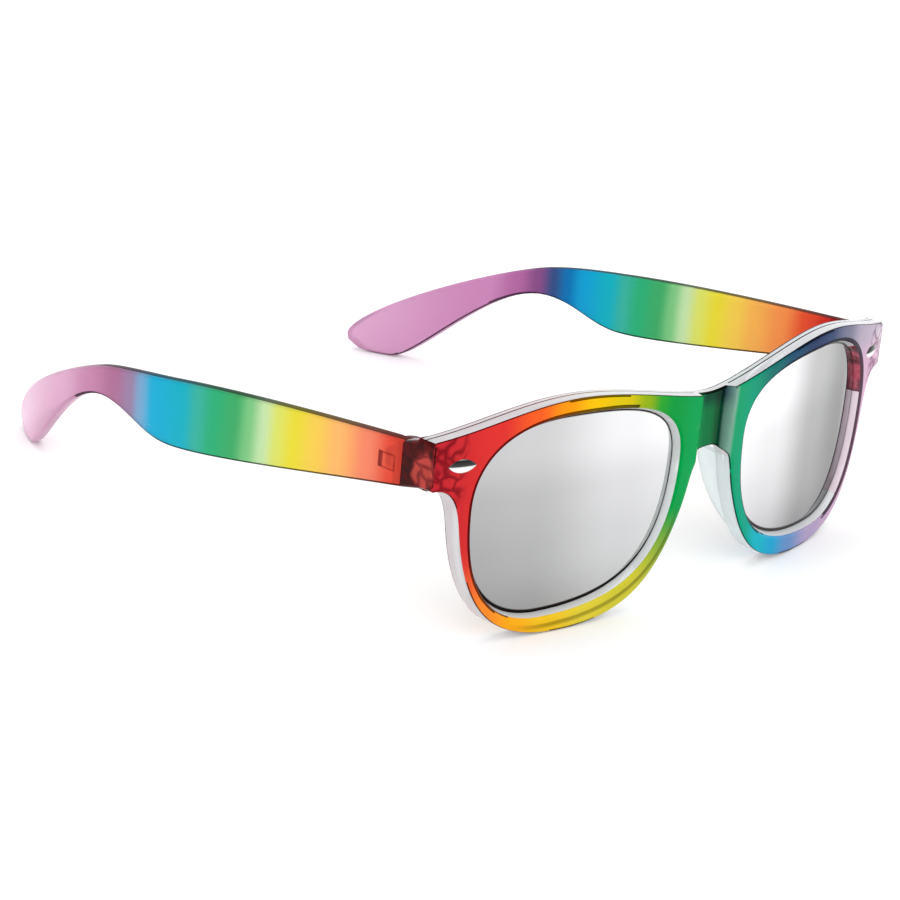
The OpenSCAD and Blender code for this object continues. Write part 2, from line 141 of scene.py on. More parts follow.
# Where the left temple differs: more orange at its joint, and a deep blue before its tip.
LEFT_STOPS = [
    (0.0, 0.66, 0.05, 0.05), (0.05, 0.86, 0.17, 0.09), (0.1, 0.95, 0.42, 0.17), (0.155, 0.96, 0.57, 0.19),
    *TEMPLE_STOPS[4:12], (0.48, 0.0, 0.55, 0.64), (0.535, 0.0, 0.48, 0.74), (0.57, 0.0, 0.29, 0.58),
    (0.6, 0.1, 0.17, 0.36), (0.63, 0.36, 0.17, 0.36), (0.67, 0.56, 0.25, 0.48), (0.73, 0.7, 0.38, 0.6),
    (1.0, 0.82, 0.54, 0.72),
]
# Areas of the front, each by where along an axis its soft edge starts and where it is inside.
LOW_AREA = (("Z", 22, 7), ("X", -4, -11))
BROW_AREA = (("Z", 36, 44), ("X", 7, 14))
# The bridge area darkens the top of the recess as painted shade.
BRIDGE_SHADE_AREA = (("Z", 39, 42.5), ("X", -4, -2), ("X", 6, 4))
FOOT_AREA = (("Z", 24, 13), ("X", 0, -8), ("X", -54, -42))
PLASTIC_IOR = 1.49


# Curves and places


def heading(degrees):
    return Vector((math.cos(math.radians(degrees)), math.sin(math.radians(degrees))))


def curve_between(a, a_angle, b, b_angle, pulls):
    """A cubic curve that leaves a and reaches b along two headings, with a pull at each end."""
    a, b = Vector(a), Vector(b)
    return [a, a + pulls[0] * heading(a_angle), b - pulls[1] * heading(b_angle), b]


def curve_over(a, a_angle, b, b_angle, shares):
    """The same, with the pulls as shares of the way from a to b."""
    reach = (Vector(b) - Vector(a)).length
    return curve_between(a, a_angle, b, b_angle, [s * reach for s in shares])


def chain(points, headings, shares):
    """Curves that run on through a list of points."""
    return [
        curve_over(points[i], headings[i], points[i + 1], headings[i + 1], shares[i])
        for i in range(len(shares))
    ]


def curve_at(c, t):
    u = 1 - t
    return u**3 * c[0] + 3 * u * u * t * c[1] + 3 * u * t * t * c[2] + t**3 * c[3]


def curve_dir(c, t):
    u = 1 - t
    d = u * u * (c[1] - c[0]) + 2 * u * t * (c[2] - c[1]) + t * t * (c[3] - c[2])
    return d.normalized()


def soft_step(value, low, high):
    """From nought at low to one at high, with soft ends."""
    t = min(1.0, max(0.0, (value - low) / (high - low)))
    return t * t * (3 - 2 * t)


def face_y(x, depth):
    """How far back a surface lies at x that is a depth behind the front's curved face."""
    return FRONT_R - math.sqrt((FRONT_R - depth) ** 2 - x * x)


def place(x, y, z):
    """A point in millimetres, with y from the bridge's face, as a place in the scene."""
    return Vector((x * MM, (y + FACE_Y) * MM, z * MM))


def eye_curves():
    """The lens opening, clockwise through its top, outer, bottom and inner extremes."""
    w, h = LENS_OUT - LENS_IN, LENS_HIGH - LENS_LOW
    top = (LENS_IN + 0.57 * w, LENS_HIGH)
    outer = (LENS_OUT, LENS_LOW + 0.59 * h)
    bottom = (LENS_IN + 0.64 * w, LENS_LOW)
    inner = (LENS_IN, LENS_LOW + 0.67 * h)
    parts = []
    for a, a_angle, b, b_angle, full in (
        (top, 0, outer, -90, (0.7, 0.59)),
        (outer, -90, bottom, 180, (0.69, 0.67)),
        (bottom, 180, inner, 90, (0.63, 0.77)),
        (inner, 90, top, 0, (0.62, 0.82)),
    ):
        pulls = [share * abs(b[i] - a[i]) for i, share in enumerate(full)]
        parts.append(curve_between(a, a_angle, b, b_angle, pulls if a_angle in (0, 180) else pulls[::-1]))
    return parts


def eye_points(steps):
    """Points round the lens opening, each with the way out of it."""
    points = []
    for c in eye_curves():
        for i in range(steps):
            d = curve_dir(c, i / steps)
            points.append((curve_at(c, i / steps), Vector((-d.y, d.x))))
    return points


def distance_to(points):
    """A function that says how far a place across the front lies from the nearest of some points."""
    tree = KDTree(len(points))
    for i, p in enumerate(points):
        tree.insert((p.x, p.y, 0), i)
    tree.balance()
    return lambda x, z: tree.find((x, z, 0))[2]


def outline_parts():
    """The half front's outline from the bridge's top, clockwise, with how many steps each part takes."""
    low_x = LENS_IN + 0.55 * (LENS_OUT - LENS_IN)
    high = (low_x, LENS_HIGH + 3.2)
    low = (low_x, 0.0)
    nose = (LENS_IN - 1.9, LENS_LOW + 0.41 * (LENS_HIGH - LENS_LOW))
    side = (LENS_OUT + 2.2, LENS_LOW + 0.51 * (LENS_HIGH - LENS_LOW))
    turn = 1.4
    brow = (SIDE_X - 0.8, END_HIGH + 0.1)
    shoulder = (SIDE_X, END_HIGH - 0.8)
    corner = (SIDE_X, END_LOW + turn)
    under = (SIDE_X - turn, END_LOW)
    return [
        (curve_over((0, BRIDGE_HIGH), 0, high, 0, (0.21, 0.34)), 28),
        (curve_over(high, 0, brow, -9, (0.37, 0.35)), 30),
        (curve_between(brow, -9, shoulder, -90, (0.5, 0.4)), 4),
        (curve_over(shoulder, -90, corner, -90, (0.33, 0.33)), 8),
        (curve_between(corner, -90, under, 180, (0.77, 0.77)), 5),
        (curve_over(under, 180, side, -98, (0.34, 0.54)), 12),
        (curve_over(side, -98, low, 180, (0.52, 0.45)), 34),
        (curve_over(low, 180, nose, 111, (0.5, 0.39)), 34),
        (curve_over(nose, 111, (0, BRIDGE_LOW), 180, (0.5, 0.52)), 18),
        (curve_over((0, BRIDGE_LOW), 90, (0, BRIDGE_HIGH), 90, (0.33, 0.33)), 10),
    ]


SIDE_PARTS, NOSE_PART, ARCH_PART, MIDDLE_PART = (2, 3, 4), 7, 8, 9
TOP_EDGE = chain(
    [(0, ROOT_HIGH), (BELLY_Y, 35.0), (91, 30.2), (TEMPLE_L - 0.5, 5.5), (TEMPLE_L - 0.4, 3)],
    [-4.5, -8.5, -18, -60, -110],
    [(0.32, 0.31), (0.31, 0.27), (0.29, 0.17), (0.35, 0.35)],
)
BOTTOM_EDGE = chain(
    [(0, ROOT_LOW), (BELLY_Y, 20.6), (87, 24.3), (TEMPLE_L - 11, 0.25), (TEMPLE_L - 3.6, 0.6)],
    [-10.5, -3, 0, -6, 16],
    [(0.32, 0.18), (0.4, 0.4), (0.35, 0.13), (0.33, 0.33)],
)


# Mesh work


def edit_mesh(piece):
    """The mesh of a piece in edit mode, with its points numbered."""
    bm = bmesh.from_edit_mesh(piece.data)
    bm.verts.index_update()
    bm.verts.ensure_lookup_table()
    return bm


def next_ring(piece, ring, spots):
    """Extrudes the selected ring of edges and sets the new ring on the given places."""
    bpy.ops.mesh.extrude_edges_move()
    bm = edit_mesh(piece)
    grown = []
    for index, spot in zip(ring, spots):
        old = bm.verts[index]
        new = next(e.other_vert(old) for e in old.link_edges if e.other_vert(old).select)
        new.co = spot
        grown.append(new.index)
    bmesh.update_edit_mesh(piece.data)
    return grown


def cap_end():
    """Closes the selected ring with a fan of faces round its middle."""
    bpy.ops.mesh.extrude_edges_move()
    bpy.ops.mesh.merge(type="CENTER")


def ring_piece(name, rings, closed=False):
    """A solid drawn out ring by ring from a circle. Its two ends are capped, or joined to each other."""
    bpy.ops.object.select_all(action="DESELECT")
    bpy.ops.mesh.primitive_circle_add(vertices=len(rings[0]), radius=0.01)
    piece = bpy.context.object
    piece.name = name
    for vertex, spot in zip(piece.data.vertices, rings[0]):
        vertex.co = spot
    bpy.ops.object.mode_set(mode="EDIT")
    bpy.ops.mesh.select_mode(type="VERT")
    bpy.ops.mesh.select_all(action="SELECT")
    ring = range(len(rings[0]))
    if not closed:
        cap_end()
        bpy.ops.mesh.select_mode(type="EDGE")
        bpy.ops.mesh.select_non_manifold(extend=False, use_wire=False, use_verts=False)
    for spots in rings[1:] + rings[:1] * closed:
        ring = next_ring(piece, ring, spots)
    if not closed:
        cap_end()
    bpy.ops.mesh.select_all(action="SELECT")
    bpy.ops.mesh.remove_doubles(threshold=DOUBLES)
    bpy.ops.mesh.normals_make_consistent(inside=False)
    bpy.ops.object.mode_set(mode="OBJECT")
    return piece


def delete_faces(piece, test):
    """Deletes the faces of a piece that pass a test."""
    pick(piece)
    bpy.ops.object.mode_set(mode="EDIT")
    bpy.ops.mesh.select_mode(type="FACE")
    bpy.ops.mesh.select_all(action="DESELECT")
    bm = edit_mesh(piece)
    for face in bm.faces:
        face.select_set(test(face))
    bm.select_flush_mode()
    bmesh.update_edit_mesh(piece.data)
    bpy.ops.mesh.delete(type="FACE")
    bpy.ops.object.mode_set(mode="OBJECT")


def split_at(piece, places):
    """Runs an edge through a piece at each of the given places across the face."""
    pick(piece)
    bpy.ops.object.mode_set(mode="EDIT")
    for x in places:
        bpy.ops.mesh.select_all(action="SELECT")
        bpy.ops.mesh.bisect(plane_co=(x * MM, 0, 0), plane_no=(1, 0, 0))
    bpy.ops.object.mode_set(mode="OBJECT")


def pick(piece):
    bpy.ops.object.select_all(action="DESELECT")
    piece.select_set(True)
    bpy.context.view_layer.objects.active = piece


def apply_modifier(piece, kind, **settings):
    """Adds a modifier with its settings to a piece and applies it."""
    pick(piece)
    modifier = piece.modifiers.new(kind.lower(), kind)
    for key, value in settings.items():
        setattr(modifier, key, value)
    bpy.ops.object.modifier_apply(modifier=modifier.name)


def join_solid(piece, other, how="UNION"):
    """Joins another solid into a piece, or cuts it away, and removes the other."""
    apply_modifier(piece, "BOOLEAN", operation=how, solver="EXACT", object=other)
    bpy.data.objects.remove(other, do_unlink=True)


def smooth(piece, degrees):
    pick(piece)
    bpy.ops.object.shade_smooth_by_angle(angle=math.radians(degrees))


def turn_over(piece):
    """Moves a piece's mesh to the other side and turns it the right way out."""
    piece.data.transform(Matrix.Scale(-1, 4, (1, 0, 0)))
    piece.data.flip_normals()


def mirror_copy(piece, name):
    """A copy of a piece on the other side, with its own mesh."""
    pick(piece)
    bpy.ops.object.duplicate()
    twin = bpy.context.object
    twin.name = name
    twin.data = twin.data.copy()
    turn_over(twin)
    return twin


def settled(name):
    """The solid just added, named, with its place and size kept in its mesh."""
    solid = bpy.context.object
    solid.name = name
    bpy.ops.object.transform_apply(location=True, rotation=True, scale=True)
    return solid


def round_bar(name, radius, low, high, steps=40):
    """A round bar on the left hinge's axis."""
    bpy.ops.object.select_all(action="DESELECT")
    middle = place(HINGE_X, HINGE_Y, (low + high) / 2)
    bpy.ops.mesh.primitive_cylinder_add(
        vertices=steps, radius=radius * MM, depth=(high - low) * MM, location=middle
    )
    return settled(name)


def block(name, low, high):
    """A plain box between two corners, for joining into a moulding."""
    bpy.ops.object.select_all(action="DESELECT")
    a, b = place(*low), place(*high)
    bpy.ops.mesh.primitive_cube_add(size=1, location=(a + b) / 2)
    bpy.context.object.scale = b - a
    return settled(name)


def bored_knuckle(name, low, high, arms):
    """A hinge knuckle, joined to its arms and bored for the screw."""
    knuckle = round_bar(name, KNUCKLE_R, low, high)
    for arm in arms:
        join_solid(knuckle, arm)
    join_solid(knuckle, round_bar("bore", BORE_R, low - 1, high + 1), "DIFFERENCE")
    return knuckle


def mark_points(piece, distance):
    """Keeps a distance at every point of a piece, for its material to read."""
    marks = piece.data.attributes.new("edge_distance", "FLOAT", "POINT")
    for vertex, mark in zip(piece.data.vertices, marks.data):
        mark.value = distance(vertex.co.x / MM, vertex.co.z / MM)


def paint(piece, materials, choose=None):
    """Gives a piece its materials, with choose(face) naming the one that a face takes."""
    piece.data.materials.clear()
    for material in materials:
        piece.data.materials.append(material)
    if choose:
        places = {material.name: i for i, material in enumerate(materials)}
        for face in piece.data.polygons:
            face.material_index = places[choose(face)]


# Shader nodes


def feed(tree, target, sockets):
    """Sets named sockets of a node to values, or links other nodes' outputs to them."""
    for key, value in sockets.items():
        if isinstance(value, bpy.types.NodeSocket):
            tree.links.new(value, target.inputs[key])
        else:
            target.inputs[key].default_value = value


def add_node(tree, kind, sockets=None, **settings):
    """Adds a shader node beside the last one, with its settings and its sockets' values or links."""
    made = tree.nodes.new("ShaderNode" + kind)
    made.location.x = 220 * len(tree.nodes)
    for key, value in settings.items():
        setattr(made, key, value)
    feed(tree, made, sockets or {})
    return made


def object_place(tree):
    return add_node(tree, "TexCoord").outputs["Object"]


def noise(tree, where, scale, detail=2, roughness=0.5, output="Fac"):
    sockets = {"Vector": where, "Scale": scale, "Detail": detail, "Roughness": roughness}
    return add_node(tree, "TexNoise", sockets).outputs[output]


def calculate(tree, operation, *values):
    return add_node(tree, "Math", dict(enumerate(values)), operation=operation).outputs[0]


def spread(tree, value, low, high, kind="LINEAR"):
    """How far a value lies from low to high, as nought to one."""
    sockets = {"Value": value, "From Min": low, "From Max": high}
    return add_node(tree, "MapRange", sockets, interpolation_type=kind).outputs["Result"]


def mixed(tree, share, first, second, blend="MIX"):
    """Two colours mixed, or blended in another way, by a share."""
    sockets = {"Factor": share, 6: first, 7: second}
    return add_node(tree, "Mix", sockets, data_type="RGBA", blend_type=blend).outputs[2]


def ramp(tree, share, stops):
    """The colour at a share of the way along stops, each with its place, red, green and blue."""
    made = add_node(tree, "ValToRGB", {"Fac": share})
    made.color_ramp.interpolation = "EASE"
    elements = made.color_ramp.elements
    elements.remove(elements[-1])
    for i, (at, *colour) in enumerate(stops):
        element = elements.new(at) if i else elements[0]
        element.position = at
        element.color = (*colour, 1)
    return made.outputs["Color"]


def along(tree, axis, low, high):
    """How far a point lies from low to high along an axis, in millimetres, and its place split in three."""
    split = add_node(tree, "SeparateXYZ", {0: object_place(tree)})
    return spread(tree, split.outputs[axis], low * MM, high * MM), split


def area_mask(tree, split, limits):
    """One inside an area and nought outside it, from soft limits in millimetres along axes or distances."""
    mask = None
    for value, low, high in limits:
        source = split.outputs[value] if isinstance(value, str) else value
        step = spread(tree, source, low * MM, high * MM, "SMOOTHSTEP")
        mask = step if mask is None else calculate(tree, "MULTIPLY", mask, step)
    return mask


def tint_area(tree, mask, colour, tint, blend="MULTIPLY"):
    """Changes a colour inside a mask only."""
    return mixed(tree, mask, colour, (*tint, 1), blend)


def new_group(name, outputs, inputs=(), kind="NodeSocketFloat"):
    """A new node group with the named inputs and outputs."""
    tree = bpy.data.node_groups.new(name, "ShaderNodeTree")
    for names, way in ((inputs, "INPUT"), (outputs, "OUTPUT")):
        for each in names:
            tree.interface.new_socket(each, in_out=way, socket_type=kind)
    return tree


def end_group(tree, outputs):
    """Links the values that a node group gives, and returns the group."""
    feed(tree, tree.nodes.new("NodeGroupOutput"), outputs)
    return tree


def new_material(name, sockets):
    """A new material whose shader has some sockets set, with its node tree and its shader."""
    material = bpy.data.materials.new(name)
    material.use_nodes = True
    shader = material.node_tree.nodes["Principled BSDF"]
    feed(material.node_tree, shader, sockets)
    return material, material.node_tree, shader


# Finishes


def handled_group():
    """Fine handling marks: soft smears and hair scratches, as a roughness and a height."""
    if "handled_surface" in bpy.data.node_groups:
        return bpy.data.node_groups["handled_surface"]
    tree = new_group("handled_surface", ("Roughness", "Height"), ("Scale", "Base Roughness", "Smear"))
    given = tree.nodes.new("NodeGroupInput").outputs
    where = object_place(tree)
    smear = spread(tree, noise(tree, where, given["Scale"], 4, 0.55), 0.4, 0.75)
    stretch = {"Vector": where, "Rotation": (0.3, 0.5, 0.2), "Scale": (40, 900, 1400)}
    scratch = noise(tree, add_node(tree, "Mapping", stretch).outputs[0], 1.0)
    marks = calculate(tree, "ADD", smear, spread(tree, scratch, 0.62, 0.8))
    worn = calculate(tree, "MULTIPLY", marks, given["Smear"])
    rough = calculate(tree, "ADD", worn, given["Base Roughness"])
    return end_group(tree, {"Roughness": rough, "Height": marks})


def add_handling(tree, shader, scale, base, smear, bump=0.02):
    """Places the handling marks in a material and links them to its shader."""
    sockets = {"Scale": scale, "Base Roughness": base, "Smear": smear}
    marks = add_node(tree, "Group", sockets, node_tree=handled_group()).outputs
    feed(tree, shader, {"Roughness": marks["Roughness"]})
    if bump:
        lift = add_node(tree, "Bump", {"Strength": bump, "Distance": 0.0001, "Height": marks["Height"]})
        feed(tree, shader, {"Normal": lift.outputs["Normal"]})


def seen_to_base(seen, see_through):
    """The base colour whose mix of see-through and solid colour gives the colour seen over white."""
    solid = 1 - see_through
    return [((math.sqrt(see_through**2 + 4 * solid * c) - see_through) / (2 * solid)) ** 2 for c in seen]


def clear_material(name, tint, transmission, roughness, other=None, scale=35):
    """Uncoated plastic with a faint cloudiness, or with patches of another colour showing in it."""
    _, tree, shader = new_material(name, {"Transmission Weight": transmission, "IOR": PLASTIC_IOR})
    cloud = noise(tree, object_place(tree), scale)
    other = other or [min(1, 1.03 * c) for c in tint]
    feed(tree, shader, {"Base Color": ramp(tree, cloud, [(0.35, *tint), (0.65, *other)])})
    add_handling(tree, shader, 70, roughness, 0.03)


def rainbow_group(name, axis, low, high, stops, see_through, depth):
    """A colour that changes along one axis of the piece, drifting a little as sprayed lacquer does."""
    tree = new_group(name, ("Color",), kind="NodeSocketColor")
    share, split = along(tree, axis, low, high)
    drift = noise(tree, object_place(tree), 45, 1)
    shifted = calculate(tree, "ADD", share, calculate(tree, "MULTIPLY_ADD", drift, 0.016, -0.008))

    def rainbow(seen_stops):
        based = [(at, *seen_to_base([c * depth for c in seen], see_through)) for at, *seen in seen_stops]
        return ramp(tree, shifted, based)

    colour = rainbow(stops)
    if stops is FRONT_STOPS:
        for other, area in ((LOW_STOPS, LOW_AREA), (BROW_STOPS, BROW_AREA)):
            colour = mixed(tree, area_mask(tree, split, area), colour, rainbow(other))
        # Painted shade at the top of the bridge's recess.
        colour = tint_area(tree, area_mask(tree, split, BRIDGE_SHADE_AREA), colour, (0.35, 0.35, 0.6))
        away = add_node(tree, "Attribute", attribute_name="edge_distance").outputs["Fac"]
        foot_line = area_mask(tree, split, ((away, 1.1, 1.5), (away, 2.6, 1.8), *FOOT_AREA))
        colour = tint_area(tree, foot_line, colour, (0.50, 0.50, 0.45))
    return end_group(tree, {"Color": colour})


def lacquer_material(name, span, see_through, depth=1.0, ior=PLASTIC_IOR, show=None):
    """Clear plastic under a see-through lacquer, with what shows through it drawn by show(tree, colour)."""
    _, tree, shader = new_material(name, {
        "Transmission Weight": see_through, "IOR": ior,
        "Specular IOR Level": 0.05, "Specular Tint": (0.25, 0.25, 0.25, 1),
    })
    rainbow = rainbow_group(name + "_colour", *span, see_through, depth)
    colour = add_node(tree, "Group", node_tree=rainbow).outputs["Color"]
    feed(tree, shader, {"Base Color": show(tree, colour) if show else colour})
    add_handling(tree, shader, 60, 0.03, 0.03)


def hinge_shade_and_light_group():
    """Dark wavy lines of painted shade for the hinge's lugs as they show through the end piece, and one
    lighter patch of painted light shining through it.
    """
    if "hinge_lines" in bpy.data.node_groups:
        return bpy.data.node_groups["hinge_lines"]
    tree = new_group("hinge_lines", ("Lines", "Light Patch"))
    where = object_place(tree)
    split = add_node(tree, "SeparateXYZ", {0: where})
    wave = noise(tree, where, 260, 1, output="Color")
    bend = {0: wave, 1: (0.004, 0.004, 0.004), 2: where}
    bent = add_node(tree, "VectorMath", bend, operation="MULTIPLY_ADD").outputs[0]
    cells = add_node(tree, "TexVoronoi", {"Vector": bent, "Scale": 300}, feature="DISTANCE_TO_EDGE")
    thin = spread(tree, cells.outputs["Distance"], 0.22, 0.0, "SMOOTHSTEP")
    out_x = calculate(tree, "ABSOLUTE", split.outputs["X"])
    ends = area_mask(tree, split, ((out_x, END_FROM + 3, END_FROM + 5.5), ("Z", 30, 33)))
    middle = (0.0024, (FACE_Y + JOINT_Y - 3.4) * MM, 39.6 * MM)
    around = {"Vector": bent, "Location": middle, "Scale": (1, 3.6 * MM, 4.2 * MM)}
    ball = {"Vector": add_node(tree, "Mapping", around, vector_type="TEXTURE").outputs[0]}
    near = add_node(tree, "TexGradient", ball, gradient_type="SPHERICAL").outputs["Fac"]
    lines = calculate(tree, "MULTIPLY", ends, thin)
    patch = spread(tree, near, 0.05, 0.45, "SMOOTHSTEP")
    return end_group(tree, {"Lines": lines, "Light Patch": patch})


def show_hinge_shade(tree, colour, light_patch_tint=None):
    """Paints the hinge's shade lines, and its lighter patch of painted light, into the lacquer of an end
    piece.
    """
    hinge = add_node(tree, "Group", node_tree=hinge_shade_and_light_group()).outputs
    if light_patch_tint:
        colour = tint_area(tree, hinge["Light Patch"], colour, light_patch_tint, "ADD")
    return tint_area(tree, hinge["Lines"], colour, (0.42, 0.28, 0.4))


def show_boss_shade(tree, colour):
    """Paints shade into a temple's lacquer: a dark outline round the hinge boss and a dark bar at its back,
    as the boss would show through.
    """
    split = add_node(tree, "SeparateXYZ", {0: object_place(tree)})
    front, back, low, high, line = FACE_Y + JOINT_Y + 1.6, FACE_Y + JOINT_Y + 6.4, 34.6, 38.4, 0.4

    def box(y_low, y_high, inset):
        return area_mask(tree, split, (
            ("Y", y_low, y_low + line), ("Y", y_high, y_high - line),
            ("Z", low + inset, low + inset + line), ("Z", high - inset, high - inset - line),
        ))

    whole, inner = box(front, back, 0.0), box(front + line, back - line, line)
    outline = calculate(tree, "SUBTRACT", whole, inner)
    colour = tint_area(tree, outline, colour, (0.55, 0.32, 0.4))
    return tint_area(tree, box(back - 1.5, back, 0.1), colour, (0.3, 0.14, 0.2))


def plastics():
    """All materials by name, once the plastics of the mouldings are made."""
    if "clear_plastic" in bpy.data.materials:
        return bpy.data.materials
    look = bpy.context.scene.sunglasses_look
    clear_material("clear_plastic", look.clear_tint, look.clear_transmission, 0.05)
    clear_material("matt_bevel", (0.86, 0.89, 0.90), 0.45, 0.3)
    clear_material("pad_plastic", (0.88, 0.96, 0.98), 0.4, 0.2)
    clear_material("wall_shade", (0.88, 0.71, 0.80), 0.4, 0.1)
    # The far end's bevel is deep red for the far hinge seen through it, and its pink patches are painted
    # highlights.
    clear_material("bevel_end", (0.10, 0.003, 0.015), 0.3, 0.05, other=(0.62, 0.08, 0.13), scale=260)
    across = ("X", -SIDE_X, SIDE_X, FRONT_STOPS)
    lacquer_material("front_lacquer", across, look.lacquer_transmission)
    lacquer_material("end_lacquer", across, look.lacquer_transmission, show=show_hinge_shade)
    # Dark lacquer for the painted shade lines along the front's lips and edges.
    lacquer_material("front_edge", across, look.lacquer_transmission, depth=0.2, ior=1.2)
    # The end sides also take the lighter patch of painted light.
    with_light_patch = partial(show_hinge_shade, light_patch_tint=(0.55, 0.08, 0.06))
    lacquer_material("end_side", across, 0.5, depth=0.45, show=with_light_patch)
    for side, later, stops in (("right", -3.6, TEMPLE_STOPS), ("left", 3.8, LEFT_STOPS)):
        down = ("Y", FACE_Y + JOINT_Y + later, TEMPLE_HIGH.y / MM + later, stops)
        lacquer_material(f"temple_lacquer_{side}", down, look.temple_transmission, show=show_boss_shade)
        # Dark lacquer for the temples' painted shade lines along their edges.
        lacquer_material(f"temple_edge_{side}", down, 0.1, depth=0.14, ior=1.1)
    return bpy.data.materials


# Settings


def length(name, description, default):
    """A size, whose default is given in millimetres."""
    return bpy.props.FloatProperty(name=name, description=description, default=default * MM, unit="LENGTH")


def fraction(name, description, default):
    return bpy.props.FloatProperty(name=name, description=description, default=default, subtype="FACTOR")


def finish_tint(name, description, default):
    return bpy.props.FloatVectorProperty(
        name=name, description=description, default=default, size=3, subtype="COLOR"
    )


class FrontSizes(bpy.types.PropertyGroup):
    """Sizes of the front moulding."""

    thickness: length("Thickness", "Thickness of the front", 4.2)
    edge: length("Edge", "Radius of the rims' front edges", 0.42)
    bevel: length("Bevel", "How far each opening narrows towards its lens", 0.8)
    lens_depth: length("Lens depth", "Depth of the lens behind the face", 2.0)
    saddle_depth: length("Saddle depth", "Depth of the bridge's recess", 2.0)


class TempleSizes(bpy.types.PropertyGroup):
    """Sizes of the temples."""

    thickness: length("Thickness", "Thickness of a temple at the joint", 3.6)
    tip: length("Tip thickness", "Thickness of a temple at its tip", 3.0)
    edge: length("Edge", "Radius of a temple's edges", 0.9)


class SunglassesLook(bpy.types.PropertyGroup):
    """Finishes of the sunglasses."""

    clear_tint: finish_tint("Clear plastic", "Tint of the uncoated plastic", (0.93, 0.94, 0.97))
    clear_transmission: fraction("Clear see-through", "How much light passes the plastic", 0.5)
    lacquer_transmission: fraction("Lacquer see-through", "How much light passes the front's lacquer", 0.12)
    temple_transmission: fraction("Temple see-through", "How much light passes the temples' lacquer", 0.45)
    mirror: finish_tint("Mirror", "Colour of the mirror coating", (0.84, 0.84, 0.85))
    floor: finish_tint("Floor", "Colour of the floor", (0.96, 0.96, 0.96))


# Forms of the front and the temples


Spoke = namedtuple("Spoke", "side inward eye outward back line")


def lip_shade_line(x, z):
    """How broad the painted shade line round a lens opening is, from next to nothing at the foot and the
    nose.
    """
    return LIP_SHADE * (0.05 + 0.95 * soft_step(z, 6, 20) * soft_step(abs(x), 14, 30))


def front_spokes():
    """Lines across the half front from its outline to the lens opening, with its section at each."""
    middle = Vector((37.0, 37.5))
    opening = eye_points(60)

    def angle_of(p):
        return math.atan2((p - middle).y, (p - middle).x)

    def turn(start, end):
        return (end - start + math.pi) % (2 * math.pi) - math.pi

    def opening_at(angle):
        for k, (p, p_out) in enumerate(opening):
            q, q_out = opening[(k + 1) % len(opening)]
            whole, part = turn(angle_of(p), angle_of(q)), turn(angle_of(p), angle)
            if whole <= part <= 0 and whole < 0:
                return p.lerp(q, part / whole), p_out.lerp(q_out, part / whole).normalized()

    spokes = []
    for part, (c, steps) in enumerate(outline_parts()):
        for i in range(steps):
            p, d = curve_at(c, i / steps), curve_dir(c, i / steps)
            inward = Vector((d.y, -d.x))
            if part == MIDDLE_PART:
                inward = Vector((0, 0 if i else 1))
            elif part == 0 and i == 0:
                inward = Vector((0, -1))
            eye, outward = opening_at(angle_of(p))
            back = 0.0 if part in SIDE_PARTS else BACK_ROUND
            spokes.append(Spoke(p, inward, eye, outward, back, LIP + lip_shade_line(eye.x, eye.y)))
    return spokes


def front_rings(sizes):
    """The half front as rings that run round the opening, one for each line of its section."""
    thick, edge, bevel, seat = (v / MM for v in (sizes.thickness, sizes.edge, sizes.bevel, sizes.lens_depth))
    spokes = front_spokes()
    # Halfway round a soft edge lies this share of its radius in from each side.
    half = 1 - math.sqrt(0.5)
    back = thick - BACK_ROUND

    def ring(spot):
        spots = [spot(s) for s in spokes]
        return [place(p.x, face_y(p.x, depth), p.y) for p, depth in spots]

    def from_eye(offset, depth):
        return ring(lambda s: (s.eye + offset * s.outward, depth))

    def at_side(inset, depth):
        return ring(lambda s: (s.side + inset * s.inward, depth))

    def on_face(share):
        return ring(lambda s: ((s.eye + LIP * s.outward).lerp(s.side + edge * s.inward, share), 0.0))

    def on_back(share):
        lip = LIP - bevel
        return ring(lambda s: ((s.eye + lip * s.outward).lerp(s.side + s.back * s.inward, share), thick))

    return [
        from_eye(-bevel, seat + 0.05),
        from_eye(-bevel / seat * LIP, LIP),
        from_eye(LIP * half - 0.04, LIP * half),
        from_eye(LIP, 0.0),
        # The outer edge of the lip's painted shade line.
        ring(lambda s: (s.eye + s.line * s.outward, 0.0)),
        *(on_face(share) for share in (0.3, 0.5, 0.7, 1.0)),
        at_side(edge * half, edge * half),
        *(at_side(0.0, depth) for depth in (edge, *WALL_SHADE_DEPTHS, back - 0.15, back)),
        ring(lambda s: (s.side + s.back * half * s.inward, thick - s.back * half)),
        *(on_back(share) for share in (1.0, 0.7, 0.5, 0.3, 0.0)),
        from_eye(LIP * half - bevel, thick - LIP * half),
        from_eye(-bevel, thick - LIP),
    ]


def saddle(piece, sizes):
    """Sets the bridge's face back between the rims, with a soft step at each side."""
    cuts = [SADDLE_HALF - SADDLE_SOFT * k / 6 for k in range(7)]
    split_at(piece, [*cuts, *(-c for c in cuts)])
    for vertex in piece.data.vertices:
        x, y = vertex.co.x / MM, vertex.co.y / MM - FACE_Y
        if abs(x) < SADDLE_HALF and y - face_y(x, 0) < sizes.edge / MM + 0.1:
            vertex.co.y += sizes.saddle_depth * soft_step(SADDLE_HALF - abs(x), 0, SADDLE_SOFT)


def temple_x(y):
    """The outer side of the left temple, a distance behind the joint."""
    drawn = max(0.0, (y - BELLY_Y) / (TEMPLE_L - BELLY_Y))
    return SIDE_X + TEMPLE_BOW * math.sin(math.pi * y / TEMPLE_L) - TEMPLE_DRAW * drawn**2.1


